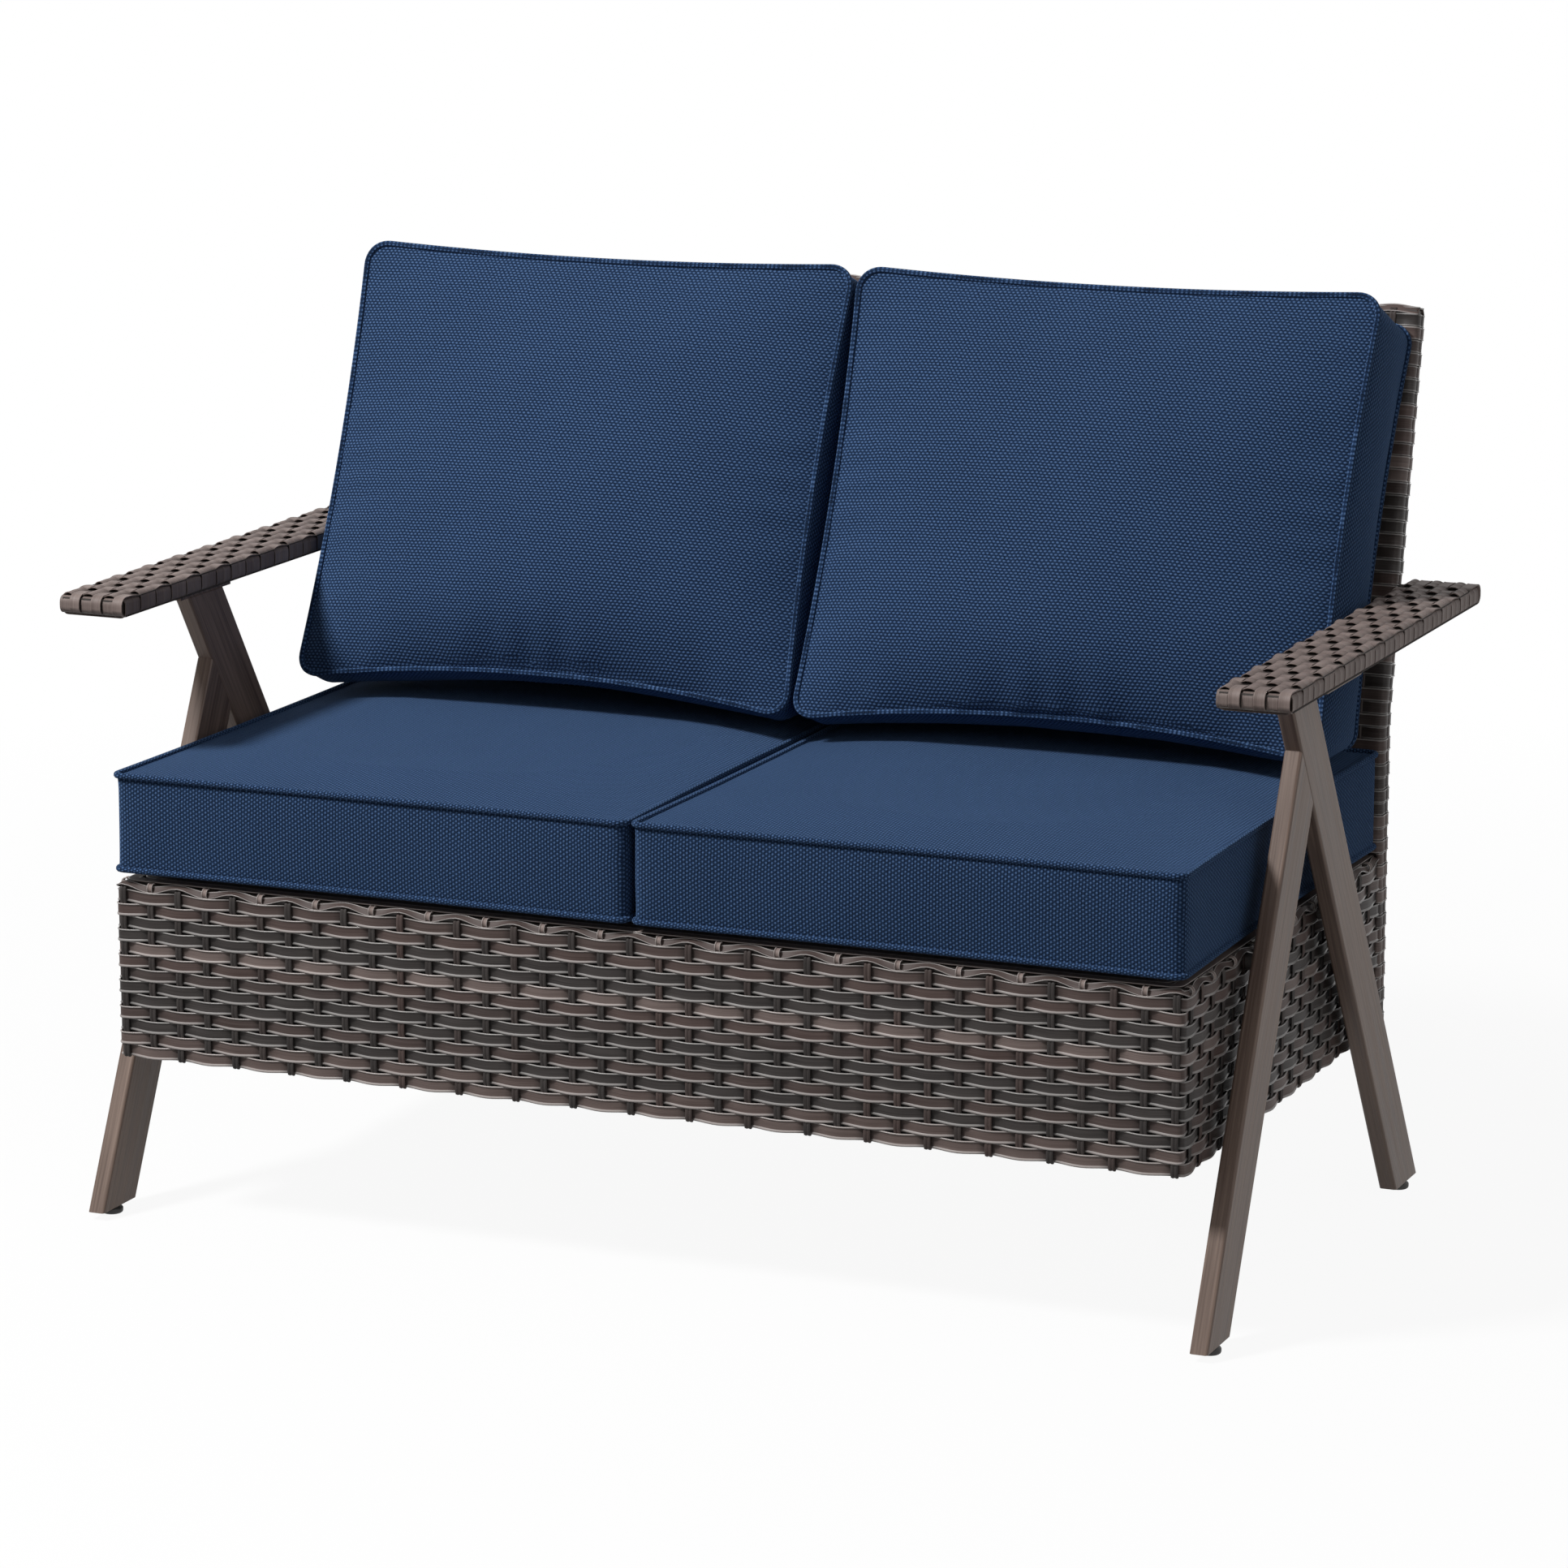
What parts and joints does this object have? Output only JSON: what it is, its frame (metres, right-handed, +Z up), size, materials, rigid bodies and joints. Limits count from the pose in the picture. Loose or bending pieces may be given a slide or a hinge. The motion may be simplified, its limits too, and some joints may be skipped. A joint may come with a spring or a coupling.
{
  "type": "patio loveseat",
  "caption": "Wide outdoor seat with a woven resin base and reclined back, splayed side legs, flat woven arms and loose piped seat and back cushions.",
  "frame": {"origin": "on the floor, at the centre of the whole seat's outline", "axes": "+Z up, +X to the right as seen from the front, -Y towards the front"},
  "size_m": [1.276, 0.7198, 0.9201],
  "materials": {
    "resin_weave": "ribbed flat resin strand, mixed grey-brown",
    "leg_steel": "powder coated flat tube with a printed grain, taupe",
    "frame_steel": "powder coated, dark brown",
    "cover_fabric": "coarse navy woven polyester with piping",
    "foam": "cut polyurethane foam",
    "zinc_steel": "zinc plated",
    "glide_plastic": "black moulded nylon"
  },
  "bodies": {
    "frame": {"arm_bolts": "zinc_steel", "arm_frame_left": "frame_steel", "arm_frame_right": "frame_steel", "arm_screws": "zinc_steel", "arm_spacers": "zinc_steel", "arm_weave_left": "resin_weave", "arm_weave_right": "resin_weave", "back_brace": "frame_steel", "back_edge_wrap_left": "resin_weave", "back_edge_wrap_right": "resin_weave", "back_post_left": "frame_steel", "back_post_right": "frame_steel", "back_rail_lower": "frame_steel", "back_rail_seat": "frame_steel", "back_rail_top": "frame_steel", "back_top_wrap": "resin_weave", "back_weave_front": "resin_weave", "back_weave_rear": "resin_weave", "box_front_rail_lower": "frame_steel", "box_front_rail_upper": "frame_steel", "box_left_rail_lower": "frame_steel", "box_left_rail_upper": "frame_steel", "box_rear_rail_lower": "frame_steel", "box_rear_rail_upper": "frame_steel", "box_right_rail_lower": "frame_steel", "box_right_rail_upper": "frame_steel", "box_uprights": "frame_steel", "deck_cross_rail": "frame_steel", "deck_slats": "frame_steel", "foot_glides": "glide_plastic", "foot_plugs": "glide_plastic", "leg_bolts": "zinc_steel", "leg_front_left": "leg_steel", "leg_front_right": "leg_steel", "leg_nuts": "zinc_steel", "leg_plate_left": "leg_steel", "leg_plate_right": "leg_steel", "leg_rear_left": "leg_steel", "leg_rear_right": "leg_steel", "leg_spacers": "zinc_steel", "panel_bolts": "zinc_steel", "panel_nuts": "zinc_steel", "skirt_binding_bottom": "resin_weave", "skirt_binding_top": "resin_weave", "skirt_corner_left": "resin_weave", "skirt_corner_right": "resin_weave", "skirt_weave_front": "resin_weave", "skirt_weave_left": "resin_weave", "skirt_weave_right": "resin_weave"},
    "seat_cushion_left": {"seat_cover_left": "cover_fabric", "seat_foam_left": "foam"},
    "back_cushion_left": {"back_cover_left": "cover_fabric", "back_foam_left": "foam"},
    "seat_cushion_right": {"seat_cover_right": "cover_fabric", "seat_foam_right": "foam"},
    "back_cushion_right": {"back_cover_right": "cover_fabric", "back_foam_right": "foam"}
  },
  "joints": [
    {"name": "seat_cushion_left_lift", "type": "slide", "parent": "frame", "child": "seat_cushion_left", "axis": [0, 0, 1], "range_m": [0, 0.2]},
    {"name": "back_cushion_left_lift", "type": "slide", "parent": "seat_cushion_left", "child": "back_cushion_left", "axis": [0, 0, 1], "range_m": [0, 0.25]},
    {"name": "seat_cushion_right_lift", "type": "slide", "parent": "frame", "child": "seat_cushion_right", "axis": [0, 0, 1], "range_m": [0, 0.2]},
    {"name": "back_cushion_right_lift", "type": "slide", "parent": "seat_cushion_right", "child": "back_cushion_right", "axis": [0, 0, 1], "range_m": [0, 0.25]}
  ]
}
